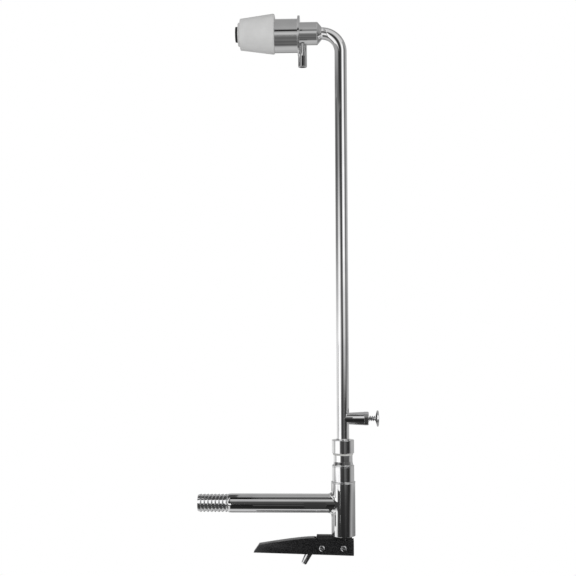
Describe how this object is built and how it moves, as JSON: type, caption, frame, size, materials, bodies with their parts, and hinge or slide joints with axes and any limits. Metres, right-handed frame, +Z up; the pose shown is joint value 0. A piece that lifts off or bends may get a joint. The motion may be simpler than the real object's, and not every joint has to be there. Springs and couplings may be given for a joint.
{
  "type": "liquid filling nozzle",
  "caption": "Hand-held stainless filling gun with a barbed hose grip, squeeze lever valve, swivelling lance, vent button, overflow stub and a white sealing cone nozzle.",
  "frame": {"origin": "centre of the hose spigot's mouth, on the axis of the grip", "axes": "+X along the grip towards the body, +Z up along the lance, +Y away from the screw heads of the lever"},
  "size_m": [0.2372, 0.0534, 0.7223],
  "materials": {
    "polished_steel": "polished stainless steel",
    "bright_hardware": "bright steel",
    "spring_wire": "drawn spring wire",
    "black_lever": "satin black coating",
    "black_block": "machined black plastic",
    "white_cone": "satin white moulded plastic",
    "white_bush": "white bearing plastic",
    "black_seal": "black seal rubber"
  },
  "bodies": {
    "handle": {"hose_spigot": "polished_steel", "grip_tube": "polished_steel", "tee_weld": "polished_steel", "body_tube": "polished_steel", "weld_ring": "polished_steel", "valve_head": "polished_steel", "pivot_block": "black_block", "block_oring": "black_seal", "guide_bush": "white_bush", "gland_orings": "black_seal", "valve_spring": "spring_wire", "swivel_washer": "white_bush"},
    "lever": {"lever": "black_lever", "pivot_screw": "bright_hardware", "link_screw": "bright_hardware", "lever_nuts": "bright_hardware", "stop_boss": "black_lever", "stop_screw": "bright_hardware", "stop_nut": "bright_hardware"},
    "valve": {"valve_stem": "bright_hardware", "valve_plug": "bright_hardware", "plug_seal": "black_seal", "plug_nut": "bright_hardware"},
    "lance": {"lance_collar": "polished_steel", "swivel_orings": "black_seal", "swivel_ring": "bright_hardware", "lance_tube": "polished_steel", "collar_weld": "polished_steel", "vent_boss": "polished_steel", "vent_cap": "polished_steel", "vent_spring": "spring_wire", "nozzle_jacket": "polished_steel", "nozzle_flange": "polished_steel", "overflow_sleeve": "polished_steel", "overflow_tube": "polished_steel", "port_plate": "polished_steel", "fill_spout": "polished_steel", "spout_ring": "black_seal", "sealing_cone": "white_cone"},
    "vent": {"vent_stem": "bright_hardware", "vent_button": "polished_steel", "vent_seal": "black_seal"}
  },
  "joints": [
    {"name": "lever_squeeze", "type": "hinge", "parent": "handle", "child": "lever", "pos_m": [0.162, 0, -0.0571], "axis": [0, 1, 0], "range_deg": [0, 12], "stiffness_Nm_per_rad": 8, "springref_deg": -8.59},
    {"name": "valve_lift", "type": "slide", "parent": "handle", "child": "valve", "axis": [0, 0, -1], "range_m": [0, 0.006], "deforming": ["valve_spring"]},
    {"name": "lance_swivel", "type": "hinge", "parent": "handle", "child": "lance", "pos_m": [0.19, 0, 0.063], "axis": [0, 0, 1], "continuous": true},
    {"name": "vent_press", "type": "slide", "parent": "lance", "child": "vent", "axis": [-1, 0, 0], "range_m": [0, 0.004], "stiffness_N_per_m": 1500, "springref_m": -0.002, "deforming": ["vent_spring"]}
  ],
  "couplings": [
    {"joint": "valve_lift", "follows": "lever_squeeze", "m_per_rad": 0.0279}
  ]
}
